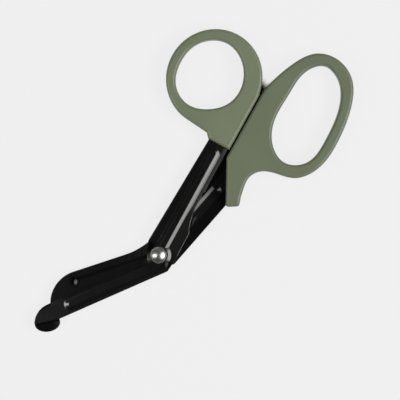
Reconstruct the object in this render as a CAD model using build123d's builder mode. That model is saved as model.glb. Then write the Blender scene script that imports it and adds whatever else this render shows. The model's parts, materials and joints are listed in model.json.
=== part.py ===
from build123d import *
from math import atan2, cos, degrees, radians, sin, tan
import os

# Bandage scissors: two stamped steel blades with moulded handles, turning on a rivet.
# The model is drawn about the rivet's axis, with the closed handles running along X, the
# thumb loop on the +Y side, and the plane where the two blades meet at Z = 0. At the end
# every piece is moved together, so that the footprint's centre on the table is the origin.

# Sizes are in millimetres and angles in degrees.

# Sheet steel of both blades
sheet_thickness = 1.5
blade_gap = 0.1
edge_break = 0.25
rib_height = 0.8
rib_slope = 1.9
rib_width = 4.2
rib_softening = 2.0
boss_radius = 5.35

# Shanks, from the rivet's axis to the handles
shank_length = 61.3
shank_side = 7.95
lower_shank_angle = 2.8
upper_shank_angle = -7.5
upper_shank_side = 8.75
shank_inner_edge_shares = (
    (0.277, 0.831),
    (0.302, 0.700),
    (0.395, 0.425),
    (0.506, 0.256),
    (0.640, 0.212),
    (0.997, -0.045),
)
shank_inner_turn = 32.0
notch_radius = 0.95
notch_share = 0.598
lap_gap = 0.35
lap_width = 1.25

# Lower blade: its direction, its back, its cutting edge and its foot
lower_blade_angle = 147.4
lower_corner_share = (0.033, 1.019)
lower_blade_length = 59.5
lower_back = 9.1
lower_edge_at_heel = 0.45
lower_edge_at_tip = 0.3
heel_station = 6.0
elbow_station = 3.5
elbow_radius = 2.5
corner_radius = 0.8
upper_corner_radius = 1.8

foot_station = 62.6
foot_side = 7.15
foot_width = 12.4
foot_turn = 11.7
foot_fold = 44.0
fold_radius = 0.8

# Upper blade: its direction, its back, its cutting edge and its nose
upper_blade_angle = 142.0
upper_back = 5.3
upper_edge = 6.7
upper_nose_start = 42.2
upper_nose_radius = 16.3
upper_elbow_station = 15.3

# Ground bevel and fine teeth
bevel_width = 1.6
edge_land = 0.45
tooth_pitch = 0.9
tooth_depth = 0.22
tooth_width_share = 0.8
upper_bevel_start = 13.0

# Pressed ribs
lower_shank_rib_angle = 5.1
lower_shank_rib_side = 0.3
lower_shank_rib_length = 56.2
lower_blade_rib_side = 4.6
lower_blade_rib_length = 48.8
upper_shank_rib_side = 0.2
upper_shank_rib_length = 42.0
upper_blade_rib_side = 0.5
upper_blade_rib_length = 41.0

# Rivet and washers
rivet_shaft_radius = 2.0
rivet_head_radius = 3.75
rivet_head_height = 1.9
rivet_head_rim = 0.35
rivet_tail_radius = 3.1
rivet_tail_height = 1.2
rivet_fit = 0.02
running_clearance = 0.05
washer_radius = 4.0
washer_thickness = 0.4
washer_break = 0.1
rivet_tail_flat_share = 0.3

# Handles
handle_thickness = 8.8
handle_edge_radius = 1.5
split_angle = 4.7
split_side = 5.64
split_gap = 0.7
handle_lip = 0.3

thumb_loop_station = 86.7
thumb_loop_side = 27.3
thumb_hole_length = 35.6
thumb_hole_width = 32.0
thumb_rim_end = 6.2
thumb_rim_top = 5.2
thumb_rim_bottom = 9.3
thumb_corner_side = 13.6
thumb_hole_shares = (
    (0.994, 0.012),
    (0.787, -0.562),
    (0.270, -0.950),
    (-0.320, -0.938),
    (-0.792, -0.519),
    (-1.000, 0.112),
    (-0.742, 0.719),
    (-0.124, 0.994),
    (0.522, 0.869),
)

finger_loop_station = 96.6
finger_loop_side = 23.1
finger_hole_length = 50.4
finger_hole_width = 27.3
finger_rim = 5.5
finger_hole_shares = (
    (1.000, 0.278),
    (0.829, -0.359),
    (0.417, -0.791),
    (-0.202, -0.993),
    (-0.758, -0.879),
    (-1.000, -0.212),
    (-0.853, 0.462),
    (-0.452, 0.901),
    (0.179, 1.000),
    (0.722, 0.923),
)
finger_outline_shares = (
    (0.195, 1.235),
    (0.570, 1.050),
    (0.892, 0.722),
    (1.006, 0.163),
    (0.860, -0.430),
    (0.531, -0.764),
    (-0.032, -0.982),
    (-0.615, -0.943),
    (-0.932, -0.597),
    (-1.060, -0.020),
    (-1.175, 0.268),
    (-1.330, 0.382),
    (-1.520, 0.345),
    (-1.690, 0.262),
)
toe_tip_shares = (-1.800, 0.192)
finger_face_station = 37.9
finger_face_side = 13.9
finger_face_angle = 32.5
toe_reach = 0.5
toe_angle = 18.0
toe_radius = 1.5
split_corner_radius = 3.0
crotch_station = 92.5

# Tangs, the parts of the blades inside the handles
tang_width = 5.4
tang_length = 23.0
lower_tang_side = 6.2
upper_tang_side = 6.6
upper_tang_end = 80.0
tang_hole_radius = 1.3
tang_hole_inset = 6.5
lower_tang_root = 1.2
upper_tang_root = 7.2

overrun = 2.0


def at(angle, along, side):
    """Gives the point that lies along a direction from the rivet, and to the left of it."""
    turn = radians(angle)
    return (along * cos(turn) - side * sin(turn), along * sin(turn) + side * cos(turn))


def heading(angle):
    """Gives the unit step along a direction."""
    return (cos(radians(angle)), sin(radians(angle)))


def crossing(first_point, first_angle, second_point, second_angle):
    """Gives the point where two lines cross, each through a point at an angle."""
    first_turn, second_turn = radians(first_angle), radians(second_angle)
    gap_x = second_point[0] - first_point[0]
    gap_y = second_point[1] - first_point[1]
    span = (gap_x * sin(second_turn) - gap_y * cos(second_turn)) / sin(second_turn - first_turn)
    return (first_point[0] + span * cos(first_turn), first_point[1] + span * sin(first_turn))


def shares_of(centre, half_length, half_width, shares):
    """Gives an outline's points from shares of its half length and half width."""
    return [(centre[0] + x * half_length, centre[1] + y * half_width) for x, y in shares]


# Heights of the two sheets, one on each side of the plane where they meet
lower_inner = blade_gap / 2
lower_outer = lower_inner + sheet_thickness
rib_top = lower_outer + rib_height
slope_angle = degrees(atan2(rib_slope, rib_height))
press_shift = sheet_thickness * tan(radians(90 - slope_angle) / 2)

# The line where the closed handles face each other, and the two edges beside it
thumb_split = at(split_angle, 0, split_gap / 2 - split_side)
finger_split = at(split_angle, 0, -split_gap / 2 - split_side)

# End face of the thumb handle, square to the split line
thumb_face_inner = at(split_angle, shank_length, split_gap / 2 - split_side)
thumb_face_angle = split_angle + 90
lower_outer_edge = at(lower_shank_angle, 0, shank_side)
lower_shoulder_outer = crossing(
    lower_outer_edge, lower_shank_angle, thumb_face_inner, thumb_face_angle
)

# End face of the finger handle, slanted back to the guard toe
finger_face_toe = (finger_face_station, -finger_face_side)
finger_face_top = crossing(finger_face_toe, finger_face_angle, finger_split, split_angle)
upper_outer_edge = at(upper_shank_angle, 0, -upper_shank_side)
upper_shoulder_outer = crossing(
    upper_outer_edge, upper_shank_angle, finger_face_toe, finger_face_angle
)

# Lap of the upper sheet, which runs on beneath the lower one to the line between the handles
lap_top = at(split_angle, shank_length - lap_gap, lap_width - split_gap / 2 - split_side)
lap_foot = at(split_angle, shank_length - lap_gap, -split_gap / 2 - split_side)

# Inner edges of the shanks: one shape, mirrored from one blade to the other
lower_inner_edge = shares_of((0, 0), shank_length, -shank_side, shank_inner_edge_shares)
upper_inner_edge = shares_of((0, 0), shank_length, shank_side, shank_inner_edge_shares)

lower_shank_turn = heading(shank_inner_turn)
upper_shank_turn = heading(-shank_inner_turn)
lower_shank_run = Vector(*lower_inner_edge[4]) - Vector(*lower_inner_edge[3])
upper_shank_run = Vector(*upper_inner_edge[4]) - Vector(*upper_inner_edge[3])

back_line = at(lower_blade_angle, 0, lower_back)
lower_corner = shares_of((0, 0), shank_length, -shank_side, (lower_corner_share,))[0]
lower_back_turn = crossing(back_line, lower_blade_angle, lower_corner, 0)
lower_heel = at(lower_blade_angle, heel_station, -lower_edge_at_heel)
lower_edge_end = at(lower_blade_angle, lower_blade_length, lower_edge_at_tip)
lower_elbow = at(lower_shank_angle, elbow_station, shank_side)
fold_angle = lower_blade_angle - foot_turn
fold_centre = at(lower_blade_angle, foot_station, foot_side)
fold_run = heading(fold_angle)
fold_reach = Vector(*fold_run) * foot_width / 2
fold_far = tuple(Vector(*fold_centre) + fold_reach)[:2]
fold_near = tuple(Vector(*fold_centre) - fold_reach)[:2]
edge_run = Vector(*lower_edge_end) - Vector(*lower_heel)
back_end = crossing(back_line, lower_blade_angle, fold_near, fold_angle + 90)

with BuildLine() as lower_outline:
    Line(lower_shoulder_outer, lower_elbow)
    Line(lower_elbow, lower_heel)
    Line(lower_heel, lower_edge_end)
    TangentArc(lower_edge_end, fold_far, tangent=edge_run)
    Line(fold_far, fold_near)
    Line(fold_near, back_end)
    Line(back_end, lower_back_turn)
    Line(lower_back_turn, lower_corner)
    Line(lower_corner, lower_inner_edge[0])
    Spline(*lower_inner_edge[:4], tangents=[lower_shank_turn, lower_shank_run])
    Line(lower_inner_edge[3], lower_inner_edge[4])
    Line(lower_inner_edge[4], lower_inner_edge[5])
    Line(lower_inner_edge[5], lower_shoulder_outer)

upper_edge_line = at(upper_blade_angle, 0, upper_edge)
upper_corner = crossing(upper_edge_line, upper_blade_angle, upper_outer_edge, upper_shank_angle)
nose_start = at(upper_blade_angle, upper_nose_start, -upper_back)
nose_rise = upper_back + upper_edge
nose_reach = (upper_nose_radius**2 - (upper_nose_radius - nose_rise) ** 2) ** 0.5
nose_end = at(upper_blade_angle, upper_nose_start + nose_reach, upper_edge)
upper_elbow_end = at(upper_blade_angle, upper_elbow_station, -upper_back)
upper_run = Vector(*nose_start) - Vector(*upper_elbow_end)

with BuildLine() as upper_outline:
    Line(upper_shoulder_outer, upper_corner)
    Line(upper_corner, nose_end)
    TangentArc(nose_end, nose_start, tangent=upper_run, tangent_from_first=False)
    Line(nose_start, upper_elbow_end)
    TangentArc(upper_elbow_end, upper_inner_edge[0], tangent=upper_run * -1)
    Spline(*upper_inner_edge[:4], tangents=[upper_shank_turn, upper_shank_run])
    Line(upper_inner_edge[3], upper_inner_edge[4])
    Line(upper_inner_edge[4], lap_top)
    Line(lap_top, lap_foot)
    Line(lap_foot, finger_face_top)
    Line(finger_face_top, upper_shoulder_outer)


def rib_face(start, finish, grow):
    """Gives the rounded face of a rib between two points, grown or shrunk all round."""
    run = Vector(*finish) - Vector(*start)
    middle = (Vector(*finish) + Vector(*start)) / 2
    turn = degrees(atan2(run.Y, run.X))
    with BuildSketch() as face:
        with Locations(Location((middle.X, middle.Y, 0), (0, 0, turn))):
            SlotCenterToCenter(run.length, rib_width + 2 * grow)
    return face.sketch


def boss_face(grow):
    """Gives the round face of the boss about the rivet, grown or shrunk all round."""
    with BuildSketch() as face:
        Circle(boss_radius + grow)
    return face.sketch


def pressed_form(ribs, grow, up):
    """Gives a blade's boss and ribs as they stand on one side of its sheet, softened all over."""
    faces = [boss_face(grow)] + [rib_face(start, finish, grow) for start, finish in ribs]
    with BuildPart() as form:
        with BuildSketch():
            Circle(2 * shank_length)
        extrude(amount=-up * sheet_thickness)
        for face in faces:
            with BuildSketch():
                add(face)
            extrude(amount=up * rib_height, taper=slope_angle)
        table, top = form.faces().filter_by(Axis.Z).sort_by(Axis.Z, reverse=up < 0)[-2:]
        fillet(top.edges() + table.inner_wires().edges(), rib_softening)
        split(bisect_by=Plane.XY, keep=Keep.TOP if up > 0 else Keep.BOTTOM)
    return form.part


lower_ribs = (
    (
        (0, lower_shank_rib_side),
        at(lower_shank_rib_angle, lower_shank_rib_length, lower_shank_rib_side),
    ),
    (
        at(lower_blade_angle, 0, lower_blade_rib_side),
        at(lower_blade_angle, lower_blade_rib_length, lower_blade_rib_side),
    ),
)
upper_ribs = (
    (
        at(upper_shank_angle, 0, -upper_shank_rib_side),
        at(upper_shank_angle, upper_shank_rib_length, -upper_shank_rib_side),
    ),
    (
        at(upper_blade_angle, 0, upper_blade_rib_side),
        at(upper_blade_angle, upper_blade_rib_length, upper_blade_rib_side),
    ),
)


def pressed_sheet(sheet, ribs, up):
    """Gives a blade's boss and ribs, trimmed where they run past its sheet's outline."""
    with BuildPart() as form:
        add(pressed_form(ribs, rib_slope / 2, up))
        with BuildSketch():
            Circle(2 * shank_length)
            add(sheet, mode=Mode.SUBTRACT)
        extrude(amount=up * (rib_height + overrun), mode=Mode.SUBTRACT)
    return form.part


def away_from(edges, middles):
    """Gives the edges whose middles lie clear of some points."""
    reach = corner_radius + edge_break
    return edges.filter_by(
        lambda edge: all(
            (Vector(edge.center().X, edge.center().Y) - Vector(*middle)).length > reach
            for middle in middles
        )
    )


def middle_of(first, second):
    """Gives the point halfway between two others."""
    return ((first[0] + second[0]) / 2, (first[1] + second[1]) / 2)


# Lower blade: sheet, ribs, tang, folded foot, ground bevel with teeth, rivet hole
fold_outward = heading(fold_angle + 90)
fold_axis_height = lower_inner - fold_radius
fold_middle = fold_radius + sheet_thickness / 2
fold_section = Plane(
    origin=(*fold_centre, lower_inner + sheet_thickness / 2),
    x_dir=(*fold_run, 0),
    z_dir=(*fold_outward, 0),
)
fold_axis = Axis((*fold_centre, fold_axis_height), (-fold_run[0], -fold_run[1], 0))
flange_out, flange_up = sin(radians(foot_fold)), cos(radians(foot_fold))
flange_plane = Plane(
    origin=(
        fold_centre[0] + fold_middle * flange_out * fold_outward[0],
        fold_centre[1] + fold_middle * flange_out * fold_outward[1],
        fold_axis_height + fold_middle * flange_up,
    ),
    x_dir=(*fold_run, 0),
    z_dir=(fold_outward[0] * flange_out, fold_outward[1] * flange_out, flange_up),
)
flange_drop = handle_thickness / 2 + fold_axis_height + fold_radius * flange_up
flange_length = flange_drop / flange_out

lower_run = edge_run.normalized()
lower_inward = Vector(-lower_run.Y, lower_run.X, 0)
bevel_drop = sheet_thickness - edge_land
bevel_rise = bevel_drop / bevel_width
lower_bevel_plane = Plane(
    origin=(*lower_heel, lower_outer), x_dir=lower_inward, z_dir=lower_run
)
lower_tooth_plane = Plane(
    origin=Vector(*lower_heel, lower_outer - bevel_drop) + edge_run / 2,
    x_dir=lower_run,
    z_dir=lower_inward * bevel_width + Vector(0, 0, bevel_drop),
)
bevel_points = (
    (-overrun, -bevel_drop - overrun * bevel_rise),
    (bevel_width + overrun, overrun * bevel_rise),
    (-overrun, overrun * bevel_rise),
)
tooth_half = tooth_pitch * tooth_width_share / 2
tooth_points = (
    (-2 * tooth_half, -tooth_depth),
    (2 * tooth_half, -tooth_depth),
    (0, tooth_depth),
)
lower_tooth_count = int((edge_run.length - 2 * tooth_pitch) / tooth_pitch)

lower_tang_start = shank_length - lower_tang_root
lower_tang_end = shank_length + tang_length
lower_tang_middle = (lower_tang_start + lower_tang_end - tang_width / 2) / 2
lower_tang_run = lower_tang_end - tang_width / 2 - lower_tang_start

with BuildSketch(Plane.XY.offset(lower_inner)) as lower_tang:
    with Locations((lower_tang_middle, lower_tang_side)):
        Rectangle(lower_tang_run, tang_width)
    with Locations((lower_tang_end - tang_width / 2, lower_tang_side)):
        Circle(tang_width / 2)
    with Locations((lower_tang_end - tang_hole_inset, lower_tang_side)):
        Circle(tang_hole_radius, mode=Mode.SUBTRACT)

with BuildSketch() as lower_sheet:
    add(lower_outline.line)
    make_face()
    fillet(lower_sheet.vertices().sort_by_distance(lower_elbow)[0], elbow_radius)
    fillet(lower_sheet.vertices().sort_by_distance(lower_heel)[0], corner_radius)
    fillet(lower_sheet.vertices().sort_by_distance(lower_back_turn)[0], corner_radius)
    with Locations((notch_share * shank_length, lower_inner_edge[3][1])):
        Circle(notch_radius, mode=Mode.SUBTRACT)

lower_press = pressed_sheet(lower_sheet.sketch, lower_ribs, 1)
lower_punch = pressed_form(lower_ribs, rib_slope / 2 - press_shift, 1)

with BuildPart() as lower_blade:
    with BuildSketch(Plane.XY.offset(lower_inner)):
        add(lower_sheet.sketch)
    extrude(amount=sheet_thickness)
    rim = lower_blade.faces().filter_by(Axis.Z).edges()
    kept = (
        middle_of(lower_heel, lower_edge_end),
        fold_centre,
        middle_of(lower_shoulder_outer, lower_inner_edge[5]),
    )
    chamfer(away_from(rim, kept), edge_break)
    add(lower_press.moved(Location((0, 0, lower_outer))))
    add(lower_punch.moved(Location((0, 0, lower_inner))), mode=Mode.SUBTRACT)
    add(lower_tang.sketch)
    extrude(amount=sheet_thickness)
    with BuildSketch(fold_section):
        Rectangle(foot_width, sheet_thickness)
    revolve(axis=fold_axis, revolution_arc=foot_fold)
    with BuildSketch(flange_plane):
        Ellipse(foot_width / 2, flange_length)
        with Locations((0, -flange_length / 2)):
            Rectangle(foot_width, flange_length, mode=Mode.SUBTRACT)
    extrude(amount=sheet_thickness / 2, both=True)
    with BuildSketch(lower_bevel_plane):
        with BuildLine():
            Polyline(*bevel_points, close=True)
        make_face()
    extrude(amount=edge_run.length + foot_width, mode=Mode.SUBTRACT)
    with BuildSketch(lower_tooth_plane):
        with GridLocations(tooth_pitch, tooth_pitch, lower_tooth_count, 1):
            Polygon(*tooth_points, align=None)
    extrude(amount=bevel_width + overrun, both=True, mode=Mode.SUBTRACT)
    with BuildSketch(Plane.XY.offset(rib_top)):
        Circle(rivet_shaft_radius + rivet_fit)
    extrude(amount=-sheet_thickness - rib_height - overrun, mode=Mode.SUBTRACT)

# Upper blade: sheet, ribs pressed the other way, tang, ground bevel, rivet hole
upper_inner = -lower_inner
upper_outer = -lower_outer
upper_run_back = Vector(*nose_end) - Vector(*upper_corner)
upper_edge_run = upper_run_back.normalized()
upper_inward = Vector(upper_edge_run.Y, -upper_edge_run.X, 0)
upper_bevel_plane = Plane(
    origin=(*at(upper_blade_angle, upper_bevel_start, upper_edge), upper_outer),
    x_dir=upper_inward,
    z_dir=upper_edge_run,
)

upper_tang_start = finger_face_station + upper_tang_root
upper_tang_middle = (upper_tang_start + upper_tang_end - tang_width / 2) / 2
upper_tang_run = upper_tang_end - tang_width / 2 - upper_tang_start

with BuildSketch(Plane.XY.offset(upper_inner)) as upper_tang:
    with Locations((upper_tang_middle, -upper_tang_side)):
        Rectangle(upper_tang_run, tang_width)
    with Locations((upper_tang_end - tang_width / 2, -upper_tang_side)):
        Circle(tang_width / 2)
    with Locations((upper_tang_end - tang_hole_inset, -upper_tang_side)):
        Circle(tang_hole_radius, mode=Mode.SUBTRACT)

with BuildSketch() as upper_sheet:
    add(upper_outline.line)
    make_face()
    fillet(upper_sheet.vertices().sort_by_distance(nose_end)[0], corner_radius)
    fillet(upper_sheet.vertices().sort_by_distance(upper_corner)[0], upper_corner_radius)

upper_press = pressed_sheet(upper_sheet.sketch, upper_ribs, -1)
upper_punch = pressed_form(upper_ribs, rib_slope / 2 - press_shift, -1)

with BuildPart() as upper_blade:
    with BuildSketch(Plane.XY.offset(upper_inner)):
        add(upper_sheet.sketch)
    extrude(amount=-sheet_thickness)
    rim = upper_blade.faces().filter_by(Axis.Z).edges()
    kept = (
        middle_of(upper_corner, nose_end),
        middle_of(finger_face_top, upper_shoulder_outer),
    )
    chamfer(away_from(rim, kept), edge_break)
    add(upper_press.moved(Location((0, 0, upper_outer))))
    add(upper_punch.moved(Location((0, 0, upper_inner))), mode=Mode.SUBTRACT)
    add(upper_tang.sketch)
    extrude(amount=-sheet_thickness)
    with BuildSketch(upper_bevel_plane):
        with BuildLine():
            Polyline(*[(x, -y) for x, y in bevel_points], close=True)
        make_face()
    extrude(amount=upper_run_back.length, mode=Mode.SUBTRACT)
    with BuildSketch(Plane.XY.offset(upper_outer - rib_height)):
        Circle(rivet_shaft_radius + running_clearance)
    extrude(amount=sheet_thickness + rib_height + overrun, mode=Mode.SUBTRACT)

# Washers, one under the rivet's head and one under its tail
front_seat = rib_top + washer_thickness
rear_seat = -rib_top - running_clearance - washer_thickness

with BuildPart() as front_washer:
    with BuildSketch(Plane.XY.offset(rib_top)):
        Circle(washer_radius)
        Circle(rivet_shaft_radius + running_clearance, mode=Mode.SUBTRACT)
    extrude(amount=washer_thickness)
    chamfer(front_washer.edges().group_by(Axis.Z)[-1].sort_by(SortBy.RADIUS)[-1], washer_break)

with BuildPart() as rear_washer:
    with BuildSketch(Plane.XY.offset(rear_seat)):
        Circle(washer_radius)
        Circle(rivet_shaft_radius + running_clearance, mode=Mode.SUBTRACT)
    extrude(amount=washer_thickness)
    chamfer(rear_washer.edges().group_by(Axis.Z)[0].sort_by(SortBy.RADIUS)[-1], washer_break)

# Rivet: domed head, shaft and peened tail, turned as one piece
head_top = front_seat + rivet_head_height
tail_end = rear_seat - rivet_tail_height

with BuildPart() as pivot_rivet:
    with BuildSketch(Plane.XZ):
        with BuildLine():
            Line((0, head_top), (0, tail_end))
            Line((0, tail_end), (rivet_tail_radius * rivet_tail_flat_share, tail_end))
            TangentArc(
                (rivet_tail_radius * rivet_tail_flat_share, tail_end),
                (rivet_tail_radius, rear_seat),
                tangent=(1, 0),
            )
            Line((rivet_tail_radius, rear_seat), (rivet_shaft_radius, rear_seat))
            Line((rivet_shaft_radius, rear_seat), (rivet_shaft_radius, front_seat))
            Line((rivet_shaft_radius, front_seat), (rivet_head_radius, front_seat))
            Line((rivet_head_radius, front_seat), (rivet_head_radius, front_seat + rivet_head_rim))
            TangentArc(
                (0, head_top), (rivet_head_radius, front_seat + rivet_head_rim), tangent=(1, 0)
            )
        make_face()
    revolve(axis=Axis.Z)

# Thumb handle: a round loop on a web that ends square across the shank
thumb_radius_x = thumb_hole_length / 2 + thumb_rim_end
thumb_radius_y = (thumb_hole_width + thumb_rim_top + thumb_rim_bottom) / 2
thumb_centre = (thumb_loop_station, thumb_loop_side + (thumb_rim_top - thumb_rim_bottom) / 2)
thumb_left = thumb_loop_station - thumb_radius_x
thumb_face_outer = crossing(
    at(lower_shank_angle, 0, shank_side + handle_lip),
    lower_shank_angle,
    thumb_face_inner,
    thumb_face_angle,
)
thumb_web_points = (
    thumb_face_inner,
    at(split_angle, crotch_station, split_gap / 2 - split_side),
    thumb_centre,
    (thumb_left, thumb_centre[1]),
    (thumb_left, thumb_corner_side),
    thumb_face_outer,
)
thumb_hole_points = shares_of(
    (thumb_loop_station, thumb_loop_side),
    thumb_hole_length / 2,
    thumb_hole_width / 2,
    thumb_hole_shares,
)
thumb_reach = thumb_loop_station + thumb_radius_x
below_split_points = (
    thumb_split,
    at(split_angle, thumb_reach, split_gap / 2 - split_side),
    at(split_angle, thumb_reach, -thumb_loop_side),
    at(split_angle, 0, -thumb_loop_side),
)

with BuildPart() as thumb_handle:
    with BuildSketch():
        with BuildLine():
            Polyline(*thumb_web_points, close=True)
        make_face()
        with Locations(thumb_centre):
            Ellipse(thumb_radius_x, thumb_radius_y)
        with BuildLine():
            Polyline(*below_split_points, close=True)
        make_face(mode=Mode.SUBTRACT)
        with BuildLine():
            Spline(*thumb_hole_points, periodic=True)
        make_face(mode=Mode.SUBTRACT)
    extrude(amount=handle_thickness / 2, both=True)
    fillet(thumb_handle.faces().filter_by(Axis.Z).edges(), handle_edge_radius)
    add(lower_tang.sketch)
    extrude(amount=sheet_thickness, mode=Mode.SUBTRACT)

# Finger handle: a long loop whose web runs down to the guard toe
finger_half_length = finger_hole_length / 2 + finger_rim
finger_half_width = finger_hole_width / 2 + finger_rim
finger_centre = (finger_loop_station, -finger_loop_side)
finger_outline_points = shares_of(
    finger_centre, finger_half_length, finger_half_width, finger_outline_shares
)
finger_toe = shares_of(
    finger_centre, finger_half_length, finger_half_width, (toe_tip_shares,)
)[0]
finger_toe_face = (
    finger_face_toe[0] - toe_reach * cos(radians(finger_face_angle)),
    finger_face_toe[1] - toe_reach * sin(radians(finger_face_angle)),
)
finger_crotch = at(split_angle, crotch_station, -split_gap / 2 - split_side)
finger_hole_points = shares_of(
    finger_centre, finger_hole_length / 2, finger_hole_width / 2, finger_hole_shares
)

with BuildPart() as finger_handle:
    with BuildSketch() as finger_sketch:
        with BuildLine():
            Line(finger_face_top, finger_crotch)
            Spline(
                finger_crotch,
                *finger_outline_points,
                finger_toe,
                tangents=[heading(split_angle), heading(toe_angle + 180)],
            )
            Line(finger_toe, finger_toe_face)
            Line(finger_toe_face, finger_face_top)
        make_face()
        fillet(finger_sketch.vertices().sort_by_distance(finger_toe)[0], toe_radius)
        fillet(finger_sketch.vertices().sort_by_distance(finger_toe_face)[0], toe_radius)
        fillet(finger_sketch.vertices().sort_by_distance(finger_face_top)[0], split_corner_radius)
        with BuildLine():
            Spline(*finger_hole_points, periodic=True)
        make_face(mode=Mode.SUBTRACT)
    extrude(amount=handle_thickness / 2, both=True)
    fillet(finger_handle.faces().filter_by(Axis.Z).edges(), handle_edge_radius)
    add(upper_tang.sketch)
    extrude(amount=-sheet_thickness, mode=Mode.SUBTRACT)

# Every piece is moved together to stand on the footprint's centre, and written
pieces = {
    "lower_blade": lower_blade.part,
    "upper_blade": upper_blade.part,
    "front_washer": front_washer.part,
    "rear_washer": rear_washer.part,
    "pivot_rivet": pivot_rivet.part,
    "thumb_handle": thumb_handle.part,
    "finger_handle": finger_handle.part,
}
whole = Compound(children=[Compound(piece.wrapped) for piece in pieces.values()]).bounding_box()
shift = Location((-whole.center().X, -whole.center().Y, -whole.min.Z))
os.makedirs("parts", exist_ok=True)
for name, piece in pieces.items():
    placed = piece.moved(shift)
    placed.label = name
    export_step(placed, f"parts/{name}.step")
print("size", whole.size, "rivet axis at", shift.position)
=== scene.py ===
import json
import math

import bpy
from bpy.props import FloatProperty, FloatVectorProperty, PointerProperty
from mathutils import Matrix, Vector

bl_info = {
    "name": "Bandage Scissors",
    "version": (1, 0, 0),
    "blender": (4, 5, 0),
    "location": "View3D > Sidebar > Scissors",
    "description": "Finishes a pair of angled bandage scissors and sets them on a photo table",
    "category": "Object",
}

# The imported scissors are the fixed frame, and the rivet's axis is read from them
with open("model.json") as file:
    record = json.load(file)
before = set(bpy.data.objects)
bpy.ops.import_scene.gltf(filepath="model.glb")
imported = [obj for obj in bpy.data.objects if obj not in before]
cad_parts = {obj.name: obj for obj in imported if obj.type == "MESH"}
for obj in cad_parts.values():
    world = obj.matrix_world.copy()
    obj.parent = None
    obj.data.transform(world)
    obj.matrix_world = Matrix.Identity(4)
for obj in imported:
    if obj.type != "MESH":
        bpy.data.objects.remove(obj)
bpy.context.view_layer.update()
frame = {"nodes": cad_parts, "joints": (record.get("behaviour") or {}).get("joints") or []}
PIVOT = Vector(frame["joints"][0]["pos_m"])

# Directions of both shanks' pressed ribs and of both blades, in degrees
LOWER_SHANK_ANGLE = 5.1
LOWER_BLADE_ANGLE = 147.4
UPPER_BLADE_ANGLE = 142.0
UPPER_SHANK_ANGLE = -7.5

# Where the lower blade's painted sheen, shade and highlight and its grinding marks change, along or
# beside one of those directions from the rivet
LOWER_SHANK_START = (0.003, 0.006)
OUTER_HALF_FOOT = (0.0006, 0.0022)
OUTER_HALF_EDGE = (0.0055, 0.0075)
INNER_MARGIN = (-0.0036, -0.0028)
LOWER_BLADE_START = (0.006, 0.010)
LOWER_BLADE_FOOT = (0.048, 0.056)
BEVEL_END = (0.0017, 0.0023)

# Where the upper blade's painted shade changes
UPPER_SHANK_START = (0.0, 0.010)
UPPER_SHANK_END = (0.034, 0.043)
GROOVE_WALL = (0.0028, 0.0036)

# Where the painted shade on the fold, the painted highlight on the cut edge and the rubbed arcs change
# with the height above the plane where the blades meet
FOLD_TOP = (0.0010, 0.0014)
CUT_EDGE_FOOT = (0.0010, 0.0012)
CUT_EDGE_TOP = (0.00149, 0.00154)
MEETING_SKIN = (0.00010, 0.00020)

# Where the rubbed arcs fade out, from the rivet
RUBBED_END = (0.008, 0.024)

# Round patches of painted shade: how far along and beside the blade's direction, and their radius
FOLD_PATCH = (0.068, 0.011, 0.016)
ELBOW_PATCH = (-0.0019, 0.0057, 0.0028)
BOSS_PATCH = (0.0046, -0.0020, 0.0030)
BOSS_CORNER_PATCH = (0.0024, -0.0056, 0.0036)
GROOVE_END_PATCH = (0.0430, -0.0005, 0.0040)

# Height of the patches' middles above the plane where the blades meet
PATCH_HEIGHT = 0.0019

# Painted light: how much lighter or darker than the plastic's colour each handle is painted, the thumb
# handle lit more than the finger handle
HANDLE_PAINTED_LIGHT = {"thumb_handle": 1.13, "finger_handle": 0.94}

# The handles' parting line, from its crest to its foot
PARTING_LINE = (0.00004, 0.00012)

# The rays that see the table's own pale colour, so that metal shows it too, and how much of it
SEEN_BY = ("Camera", "Glossy", "Transmission")
TABLE_GLOW = 0.93

# How far the walls of a slit reach over the table, and how open the sky is where the table's colour is
# painted dark as slit shade
SLIT_REACH = 0.012
SLIT_OPENING = (0.26, 0.34)

# The studio's dim light, and how much of it comes from the picture's top rather than its foot
DIM_ROOM = 0.110
TOP_GLOW = 0.110

# Middle of the picture, from the rivet
VIEW_MIDDLE = Vector((0.03347, -0.00194, 0.0))
SENSOR_WIDTH = 36.0

BLACK = (0.0, 0.0, 0.0, 1.0)
WHITE = (1.0, 1.0, 1.0, 1.0)


class Wire:
    """A number that flows between shader nodes, so that sums are written as Python sums."""

    def __init__(self, recipe, socket):
        self.recipe = recipe
        self.socket = socket

    def math(self, operation, *values):
        node = self.recipe.add("ShaderNodeMath", {"operation": operation}, *values)
        return Wire(self.recipe, node.outputs[0])

    def __add__(self, other):
        return self.math("ADD", self, other)

    def __sub__(self, other):
        return self.math("SUBTRACT", self, other)

    def __mul__(self, other):
        return self.math("MULTIPLY", self, other)

    def __pow__(self, other):
        return self.math("POWER", self, other)

    def __radd__(self, other):
        return self.math("ADD", other, self)

    def __rsub__(self, other):
        return self.math("SUBTRACT", other, self)

    def __rmul__(self, other):
        return self.math("MULTIPLY", other, self)

    def absolute(self):
        return self.math("ABSOLUTE", self)

    def sine(self):
        return self.math("SINE", self)

    def atleast(self, other):
        return self.math("MAXIMUM", self, other)

    def atmost(self, other):
        return self.math("MINIMUM", self, other)

    def step(self, start, end):
        """Rises smoothly from 0 to 1 between two values."""
        settings = {"interpolation_type": "SMOOTHSTEP"}
        node = self.recipe.add("ShaderNodeMapRange", settings, self, start, end, 0.0, 1.0)
        return Wire(self.recipe, node.outputs[0])


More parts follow.
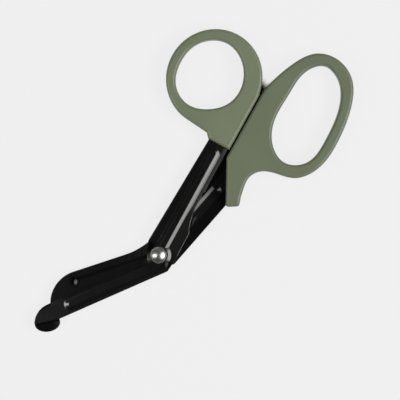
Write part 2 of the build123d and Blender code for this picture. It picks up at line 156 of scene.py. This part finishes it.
class Recipe:
    """A tree of shader nodes, with helpers that keep what is built from it short."""

    def __init__(self, tree, output):
        self.tree = tree
        self.tree.nodes.clear()
        self.output = self.tree.nodes.new(output)

    def end(self, shader):
        """Makes a shader what the whole tree gives."""
        self.tree.links.new(shader, self.output.inputs["Surface"])

    def add(self, kind, settings=None, *values, **named):
        """Adds a node: its settings first, then its sockets by order or by name."""
        node = self.tree.nodes.new(kind)
        for key, value in (settings or {}).items():
            setattr(node, key, value)
        for key, value in list(enumerate(values)) + list(named.items()):
            socket = node.inputs[key.replace("_", " ") if isinstance(key, str) else key]
            self.feed(socket, value)
        return node

    def feed(self, socket, value):
        """Links what varies to a socket, and sets what doesn't on the socket itself."""
        if isinstance(value, Wire):
            value = value.socket
        if isinstance(value, bpy.types.NodeSocket):
            self.tree.links.new(value, socket)
        else:
            socket.default_value = value

    def value(self, kind, output):
        """The number that a plain input node gives."""
        return Wire(self, self.add(kind).outputs[output])

    def parts_of(self, vector):
        """The three numbers of a vector."""
        node = self.add("ShaderNodeSeparateXYZ", None, vector)
        return [Wire(self, socket) for socket in node.outputs]

    def along(self, vector, direction):
        """How far a vector reaches in a direction."""
        node = self.add("ShaderNodeVectorMath", {"operation": "DOT_PRODUCT"}, vector, direction)
        return Wire(self, node.outputs["Value"])


class Finish(Recipe):
    """One material, built from nodes."""

    def __init__(self, name):
        self.material = bpy.data.materials.new(name)
        self.material.use_nodes = True
        super().__init__(self.material.node_tree, "ShaderNodeOutputMaterial")

    def place(self):
        """The point on the piece, in metres from the frame's origin."""
        return self.add("ShaderNodeTexCoord").outputs["Object"]

    def turned(self, angle, stretch=(1.0, 1.0, 1.0)):
        """Places measured from the rivet, with X along a direction and each axis stretched."""
        about = self.add("ShaderNodeVectorMath", {"operation": "SUBTRACT"}, self.place(), PIVOT)
        rotation = (0.0, 0.0, math.radians(-angle))
        node = self.add("ShaderNodeMapping", None, about.outputs[0], Rotation=rotation)
        scaled = self.add("ShaderNodeVectorMath", {"operation": "MULTIPLY"}, node.outputs[0], stretch)
        return scaled.outputs[0]

    def from_axis(self):
        """Distance from the rivet's axis."""
        across, beside, _ = self.parts_of(self.turned(0.0))
        return (across * across + beside * beside) ** 0.5

    def noise(self, vector, size, detail=2.0):
        """Cloudy variation from 0 to 1 whose spots are about one size across, in metres."""
        node = self.add("ShaderNodeTexNoise", None, Vector=vector, Scale=1.0 / size, Detail=detail)
        return Wire(self, node.outputs["Fac"])

    def mixed(self, share, first, second):
        """A colour that goes from the first to the second as the share goes from 0 to 1."""
        node = self.add("ShaderNodeMix", {"data_type": "RGBA"})
        self.feed(node.inputs[0], share)
        self.feed(node.inputs[6], first)
        self.feed(node.inputs[7], second)
        return node.outputs[2]

    def near(self, angle, patch):
        """A round patch on the piece, 1 at its middle and 0 from its radius on."""
        along, side, radius = patch
        turn = math.radians(angle)
        middle = PIVOT + Vector((
            along * math.cos(turn) - side * math.sin(turn),
            along * math.sin(turn) + side * math.cos(turn),
            PATCH_HEIGHT,
        ))
        node = self.add("ShaderNodeVectorMath", {"operation": "DISTANCE"}, self.place(), middle)
        return 1.0 - Wire(self, node.outputs["Value"]).step(radius * 0.4, radius)

    def bump(self, height, distance, below=None):
        """The normal of fine relief, laid over the normal of the relief below it."""
        node = self.add("ShaderNodeBump", None, Height=height, Distance=distance, Strength=1.0)
        if below is not None:
            self.feed(node.inputs["Normal"], below)
        return node.outputs[0]

    def surface(self, **sockets):
        """Ends the recipe with one principled surface and returns the material."""
        self.end(self.add("ShaderNodeBsdfPrincipled", None, **sockets).outputs[0])
        return self.material


def shade(colour, share):
    """A colour made lighter or darker by a share."""
    return (colour[0] * share, colour[1] * share, colour[2] * share, 1.0)


def coat(names, material):
    """Gives CAD nodes one material in every slot."""
    for name in names:
        slots = frame["nodes"][name].data.materials
        slots.clear()
        slots.append(material)


class SCISSORS_PG_Blades(bpy.types.PropertyGroup):
    gloss: FloatVectorProperty(
        name="Gloss", description="How much light the black coating throws back where it shines most",
        subtype="COLOR", size=3, min=0.0, max=1.0, default=(0.100, 0.100, 0.098),
    )
    roughness: FloatProperty(
        name="Roughness", description="How much the coating blurs reflections", default=0.19,
    )
    grain: FloatProperty(
        name="Grain", description="Size of the coating's fine unevenness",
        default=0.0006, unit="LENGTH", precision=5,
    )
    cloud: FloatProperty(
        name="Clouds", description="Size of the coating's thicker and thinner areas",
        default=0.009, unit="LENGTH", precision=4,
    )
    grinding: FloatProperty(
        name="Grinding marks", description="Distance between the marks across the ground bevel",
        default=0.0003, unit="LENGTH", precision=5,
    )
    rubbing: FloatProperty(
        name="Rubbed arcs", description="Distance between the arcs that the blades rub into each other",
        default=0.0008, unit="LENGTH", precision=5,
    )
    margin_foot: FloatProperty(
        name="Margin foot", description="Side of the shank's rib where its drawn margin begins",
        default=-0.00275, unit="LENGTH", precision=5,
    )
    margin_tilt: FloatProperty(
        name="Margin tilt", description="How far the press drew down the margin beside the rib",
        default=math.radians(11.5), subtype="ANGLE",
    )
    margin_start: FloatProperty(
        name="Margin start", description="Where the drawn margin starts, from the rivet",
        default=0.019, unit="LENGTH", precision=4,
    )
    margin_full: FloatProperty(
        name="Margin full", description="Where the drawn margin has its full tilt, from the rivet",
        default=0.030, unit="LENGTH", precision=4,
    )


class SCISSORS_PG_Handles(bpy.types.PropertyGroup):
    colour: FloatVectorProperty(
        name="Plastic", description="Colour of the moulded handles", subtype="COLOR",
        size=3, min=0.0, max=1.0, default=(0.152, 0.179, 0.108),
    )
    roughness: FloatProperty(
        name="Roughness", description="How much the plastic blurs reflections", default=0.40,
    )
    grain: FloatProperty(
        name="Grain", description="Size of the mould's spark-eroded grain",
        default=0.00035, unit="LENGTH", precision=5,
    )
    cloud: FloatProperty(
        name="Clouds", description="Size of the plastic's lighter and darker areas",
        default=0.022, unit="LENGTH", precision=4,
    )


class SCISSORS_PG_Rivet(bpy.types.PropertyGroup):
    colour: FloatVectorProperty(
        name="Steel", description="Colour of the bright rivet", subtype="COLOR",
        size=3, min=0.0, max=1.0, default=(0.53, 0.53, 0.51),
    )
    groove: FloatProperty(
        name="Turning marks", description="Distance between the rings left by turning",
        default=0.00030, unit="LENGTH", precision=5,
    )
    cloud: FloatProperty(
        name="Clouds", description="Size of the steel's lighter and darker areas",
        default=0.002, unit="LENGTH", precision=4,
    )


class SCISSORS_PG_Stage(bpy.types.PropertyGroup):
    view_width: FloatProperty(
        name="View width", description="Width of the table that the camera sees",
        default=0.19504, unit="LENGTH", precision=4,
    )
    view_turn: FloatProperty(
        name="View turn", description="How far the camera is turned about the vertical",
        default=math.radians(-56.3), subtype="ANGLE",
    )
    lens: FloatProperty(
        name="Lens", description="Focal length in millimetres", default=200.0,
    )
    table_size: FloatProperty(
        name="Table size", description="Length of the square table's sides",
        default=6.0, unit="LENGTH",
    )
    pale: FloatVectorProperty(
        name="Background", description="Colour of the table and the backdrop", subtype="COLOR",
        size=3, min=0.0, max=1.0, default=(0.872, 0.872, 0.872),
    )


class Coating(Finish):
    """The black, satin, non-stick layer of one blade."""

    def __init__(self, blade, size):
        super().__init__("black_coating_" + blade)
        self.size = size
        self.cloud = self.noise(self.place(), size.cloud, 3.0)
        self.grain = self.noise(self.place(), size.grain)

    def rubbed(self, height):
        """Bright arcs, rubbed into the faces where the blades slide over each other."""
        radius = self.from_axis()
        rings = self.add("ShaderNodeCombineXYZ", None, radius, 0.0, 0.0).outputs[0]
        arcs = self.noise(rings, self.size.rubbing).step(0.4, 0.7)
        meeting = 1.0 - height.absolute().step(*MEETING_SKIN)
        return meeting * (1.0 - radius.step(*RUBBED_END)) * arcs

    def colour(self, painted_sheen_and_tone, height):
        """Black where the painted sheen is nil, up to the gloss where the painted sheen is fullest."""
        # Painted sheen and shade, with the coating's own clouds, grain and rubbed arcs laid over it
        painted_sheen_and_tone = painted_sheen_and_tone * (0.8 + self.cloud * 0.4) + (self.grain - 0.5) * 0.06
        painted_sheen_and_tone = painted_sheen_and_tone + self.rubbed(height) * 0.5
        return self.mixed(painted_sheen_and_tone, BLACK, shade(self.size.gloss, 1.0))

    def laid(self, colour, relief=None):
        """The finished material, with its grain laid over the relief of the sheet."""
        return self.surface(
            Base_Color=colour,
            Metallic=1.0,
            Roughness=self.size.roughness + (self.cloud - 0.5) * 0.06 + (self.grain - 0.5) * 0.05,
            Normal=self.bump(self.grain, 0.000003, below=relief),
        )


def coat_lower_blade(size):
    """Coats the blade with the foot: its shank, its ground bevel and its folded edge."""
    coating = Coating("lower_blade", size)
    along, side, height = coating.parts_of(coating.turned(LOWER_SHANK_ANGLE))
    reach, inward, _ = coating.parts_of(coating.turned(LOWER_BLADE_ANGLE))
    shank = along.step(*LOWER_SHANK_START)
    blade = reach.step(*LOWER_BLADE_START)
    foot = reach.step(*LOWER_BLADE_FOOT)
    bevel = 1.0 - inward.step(*BEVEL_END)

    # Painted shade and sheen along the shank: the outer half is painted darker and the margin by the
    # other blade painted lighter
    outer = side.step(*OUTER_HALF_FOOT) * (1.0 - side.step(*OUTER_HALF_EDGE))
    margin = 1.0 - side.step(*INNER_MARGIN)
    painted_sheen_and_tone = 0.55 + shank * (margin * 0.30 - outer * 0.10)

    # Painted sheen and shade along the blade: the flat and the foot are painted lighter, and the ground
    # bevel painted darker
    painted_sheen_and_tone = painted_sheen_and_tone + blade * (0.12 + foot * 0.25 - bevel * 0.40)

    # Painted shade on the fold, the elbow and the boss: their reflection is darkened in round patches
    fold = coating.near(LOWER_BLADE_ANGLE, FOLD_PATCH) * (1.0 - height.step(*FOLD_TOP))
    painted_sheen_and_tone = painted_sheen_and_tone * (1.0 - fold * 0.93)
    for patch, painted_shade_share in ((ELBOW_PATCH, 0.85), (BOSS_PATCH, 0.80), (BOSS_CORNER_PATCH, 0.75)):
        painted_sheen_and_tone = painted_sheen_and_tone * (1.0 - coating.near(LOWER_BLADE_ANGLE, patch) * painted_shade_share)

    # Painted highlight on the sheet's cut edge along the shank, made brighter than the coating's gloss
    painted_edge_highlight = height.step(*CUT_EDGE_FOOT) * (1.0 - height.step(*CUT_EDGE_TOP)) * shank
    colour = coating.mixed(painted_edge_highlight, coating.colour(painted_sheen_and_tone, height), shade(size.gloss, 3.5))

    # The margin beside the shank's rib is drawn down, more and more towards its edge
    drawn = (size.margin_foot - side).atleast(0.0)
    depth = drawn * (0.85 + drawn * 50.0) * along.step(size.margin_start, size.margin_full)
    relief = coating.bump(depth * -math.tan(size.margin_tilt), 1.0)

    # Grinding leaves fine marks across the bevel
    marks = coating.noise(coating.turned(LOWER_BLADE_ANGLE, (1.0, 0.04, 1.0)), size.grinding)
    relief = coating.bump(marks * bevel * blade, 0.000004, below=relief)
    coat(["lower_blade"], coating.laid(colour, relief))


def coat_upper_blade(size):
    """Coats the blade with the broad nose, with painted shade along its shank, but not in the shank's
    groove.
    """
    coating = Coating("upper_blade", size)
    along, side, height = coating.parts_of(coating.turned(UPPER_SHANK_ANGLE))
    # Painted shade: darker along the shank outside its groove, beyond the shank's end and in a round
    # patch at the groove's end
    shank = along.step(*UPPER_SHANK_START)
    groove = 1.0 - side.absolute().step(*GROOVE_WALL)
    painted_sheen_and_tone = (0.52 - shank * (0.20 - groove * 0.25)) * (1.0 - along.step(*UPPER_SHANK_END) * 0.6)
    painted_sheen_and_tone = painted_sheen_and_tone * (1.0 - coating.near(UPPER_BLADE_ANGLE, GROOVE_END_PATCH) * 0.85)
    coat(["upper_blade"], coating.laid(coating.colour(painted_sheen_and_tone, height)))


class SCISSORS_OT_coat_blades(bpy.types.Operator):
    """Coats both blades with the black, satin, non-stick layer"""

    bl_idname = "scissors.coat_blades"
    bl_label = "Coat Blades"

    def execute(self, context):
        size = context.scene.scissors_blades
        coat_lower_blade(size)
        coat_upper_blade(size)
        return {"FINISHED"}


class SCISSORS_OT_mould_handles(bpy.types.Operator):
    """Gives both handles their olive-green plastic with its fine mould grain"""

    bl_idname = "scissors.mould_handles"
    bl_label = "Mould Handles"

    def execute(self, context):
        size = context.scene.scissors_handles
        for handle, tint_and_painted_light in HANDLE_PAINTED_LIGHT.items():
            plastic = Finish("olive_plastic_" + handle)
            cloud = plastic.noise(plastic.place(), size.cloud)
            grain = plastic.noise(plastic.place(), size.grain, 1.0)
            share = (cloud * 0.7 + grain * 0.3).step(0.25, 0.75)
            # Painted light: both ends of the plastic's random tone are scaled by the handle's painted
            # lighter or darker share
            darker, lighter = shade(size.colour, tint_and_painted_light * 0.94), shade(size.colour, tint_and_painted_light * 1.06)

            # The mould's two halves met at mid height, and left a fine raised line there
            height = plastic.parts_of(plastic.turned(0.0))[2]
            parting = 1.0 - height.absolute().step(*PARTING_LINE)
            material = plastic.surface(
                Base_Color=plastic.mixed(share, darker, lighter),
                Roughness=size.roughness + (cloud - 0.5) * 0.1,
                Normal=plastic.bump(grain, 0.00001, below=plastic.bump(parting, 0.00006)),
            )
            coat([handle], material)
        return {"FINISHED"}


class SCISSORS_OT_polish_rivet(bpy.types.Operator):
    """Gives the rivet and its washers bright steel with fine turning marks"""

    bl_idname = "scissors.polish_rivet"
    bl_label = "Polish Rivet"

    def execute(self, context):
        size = context.scene.scissors_rivet
        steel = Finish("bright_steel")
        rings = (steel.from_axis() * (2.0 * math.pi / size.groove)).sine()
        cloud = steel.noise(steel.place(), size.cloud)
        share = (cloud * 0.8 + rings * 0.1).step(0.1, 0.9)
        material = steel.surface(
            Base_Color=steel.mixed(share, shade(size.colour, 0.9), shade(size.colour, 1.1)),
            Metallic=1.0,
            Roughness=0.25 + cloud * 0.08,
            Normal=steel.bump(rings, 0.000004),
        )
        coat(["pivot_rivet", "front_washer", "rear_washer"], material)
        return {"FINISHED"}


def softbox(name, azimuth, polar, width, height, radiance, fade):
    """A lamp a metre from the scissors that dims towards its edges, out of the camera's sight."""
    lamp = bpy.data.lights.new(name, "AREA")
    lamp.shape = "RECTANGLE"
    lamp.size = width
    lamp.size_y = height
    lamp.energy = radiance * math.pi * width * height
    lamp.use_nodes = True
    cloth = Recipe(lamp.node_tree, "ShaderNodeOutputLight")
    across, up, _ = cloth.parts_of(cloth.add("ShaderNodeNewGeometry").outputs["Parametric"])
    level = 1.0
    for share in (across, up):
        level = level * share.atmost(1.0 - share).step(0.0, fade)
    cloth.end(cloth.add("ShaderNodeEmission", None, Strength=level).outputs[0])
    item = bpy.data.objects.new(name, lamp)
    bpy.context.scene.collection.objects.link(item)
    side = math.sin(polar)
    item.location = Vector((side * math.cos(azimuth), side * math.sin(azimuth), math.cos(polar)))
    item.rotation_euler = item.location.to_track_quat("Z", "Y").to_euler()
    item.visible_camera = False


def paint_room(world, pale, up):
    """Makes a dim studio, a little lighter at the picture's top, which the camera sees pale."""
    world.use_nodes = True
    room = Recipe(world.node_tree, "ShaderNodeOutputWorld")
    direction = room.add("ShaderNodeTexCoord").outputs["Generated"]
    upward = room.along(direction, up)
    glow = DIM_ROOM + upward * upward * upward * TOP_GLOW
    dim = room.add("ShaderNodeBackground", None, WHITE, glow)
    backdrop = room.add("ShaderNodeBackground", None, shade(pale, 1.0), 1.0)
    seen = room.value("ShaderNodeLightPath", "Is Camera Ray")
    mix = room.add("ShaderNodeMixShader", None, seen, dim.outputs[0], backdrop.outputs[0])
    room.end(mix.outputs[0])


def set_table(size):
    """Lays the table, pale to the camera, with a faint shadow and painted shade in its slits."""
    bpy.ops.object.select_all(action="DESELECT")
    bpy.ops.mesh.primitive_plane_add(size=size.table_size, location=(0.0, 0.0, 0.0))
    table = bpy.context.active_object
    table.name = "table"
    paper = Finish("pale_table")
    speckle = paper.noise(paper.place(), 0.004)
    tint_and_painted_light = paper.mixed(speckle, shade(size.pale, 0.995), shade(size.pale, 1.005))

    # Little light gets in where high walls stand close, as between the handles, and there the table's
    # colour is painted nearly black as shade
    sky = paper.add("ShaderNodeAmbientOcclusion", {"samples": 32}, Distance=SLIT_REACH)
    open_above = Wire(paper, sky.outputs["AO"]).step(*SLIT_OPENING)
    tint_and_painted_light = paper.mixed(open_above, shade(size.pale, 0.03), tint_and_painted_light)
    diffuse = paper.add("ShaderNodeBsdfDiffuse", None, tint_and_painted_light)
    glow = paper.add("ShaderNodeEmission", None, shade(size.pale, 1.0), 1.0)
    seen = sum(paper.value("ShaderNodeLightPath", f"Is {ray} Ray") for ray in SEEN_BY)
    share = seen.atmost(1.0) * open_above * TABLE_GLOW
    mix = paper.add("ShaderNodeMixShader", None, share, diffuse.outputs[0], glow.outputs[0])
    paper.end(mix.outputs[0])
    table.data.materials.append(paper.material)


def set_camera(size):
    """Sets the camera straight above the scissors, turned as the photo is."""
    camera = bpy.data.cameras.new("camera")
    camera.lens = size.lens
    camera.sensor_width = SENSOR_WIDTH
    item = bpy.data.objects.new("camera", camera)
    bpy.context.scene.collection.objects.link(item)
    height = size.view_width * size.lens / SENSOR_WIDTH
    item.location = PIVOT + VIEW_MIDDLE + Vector((0.0, 0.0, height))
    item.rotation_euler = (0.0, 0.0, size.view_turn)
    bpy.context.scene.camera = item


class SCISSORS_OT_set_stage(bpy.types.Operator):
    """Sets the table, the two softboxes and the camera straight above the scissors"""

    bl_idname = "scissors.set_stage"
    bl_label = "Set Stage"

    def execute(self, context):
        size = context.scene.scissors_stage
        scene = context.scene
        set_table(size)

        # Dim studio around the scissors, with a softbox to the right and to the left of the picture
        scene.world = bpy.data.worlds.new("studio")
        right = size.view_turn
        paint_room(scene.world, size.pale, (-math.sin(right), math.cos(right), 0.0))
        softbox(
            "right_softbox", right + math.radians(-9.0), math.radians(45.0),
            width=1.35, height=0.75, radiance=6.6, fade=0.35,
        )
        softbox(
            "left_softbox", right + math.radians(192.0), math.radians(43.0),
            width=0.55, height=1.0, radiance=5.5, fade=0.35,
        )

        set_camera(size)
        scene.view_settings.view_transform = "Standard"
        return {"FINISHED"}


class SCISSORS_PT_sidebar(bpy.types.Panel):
    """Lists the steps and sizes in the 3D view's sidebar"""

    bl_idname = "SCISSORS_PT_sidebar"
    bl_label = "Bandage Scissors"
    bl_space_type = "VIEW_3D"
    bl_region_type = "UI"
    bl_category = "Scissors"

    def draw(self, context):
        scene = context.scene
        groups = (
            (SCISSORS_OT_coat_blades, scene.scissors_blades),
            (SCISSORS_OT_mould_handles, scene.scissors_handles),
            (SCISSORS_OT_polish_rivet, scene.scissors_rivet),
            (SCISSORS_OT_set_stage, scene.scissors_stage),
        )
        for step, sizes in groups:
            box = self.layout.box()
            box.operator(step.bl_idname)
            for name in sizes.__annotations__:
                box.prop(sizes, name)


CLASSES = (
    SCISSORS_PG_Blades,
    SCISSORS_PG_Handles,
    SCISSORS_PG_Rivet,
    SCISSORS_PG_Stage,
    SCISSORS_OT_coat_blades,
    SCISSORS_OT_mould_handles,
    SCISSORS_OT_polish_rivet,
    SCISSORS_OT_set_stage,
    SCISSORS_PT_sidebar,
)
SIZE_GROUPS = {
    "scissors_blades": SCISSORS_PG_Blades,
    "scissors_handles": SCISSORS_PG_Handles,
    "scissors_rivet": SCISSORS_PG_Rivet,
    "scissors_stage": SCISSORS_PG_Stage,
}


def register():
    for item in CLASSES:
        bpy.utils.register_class(item)
    for name, group in SIZE_GROUPS.items():
        setattr(bpy.types.Scene, name, PointerProperty(type=group))


def unregister():
    for name in SIZE_GROUPS:
        delattr(bpy.types.Scene, name)
    for item in reversed(CLASSES):
        bpy.utils.unregister_class(item)


def main():
    register()
    bpy.ops.scissors.coat_blades()
    bpy.ops.scissors.mould_handles()
    bpy.ops.scissors.polish_rivet()
    bpy.ops.scissors.set_stage()


if __name__ == "__main__":
    main()
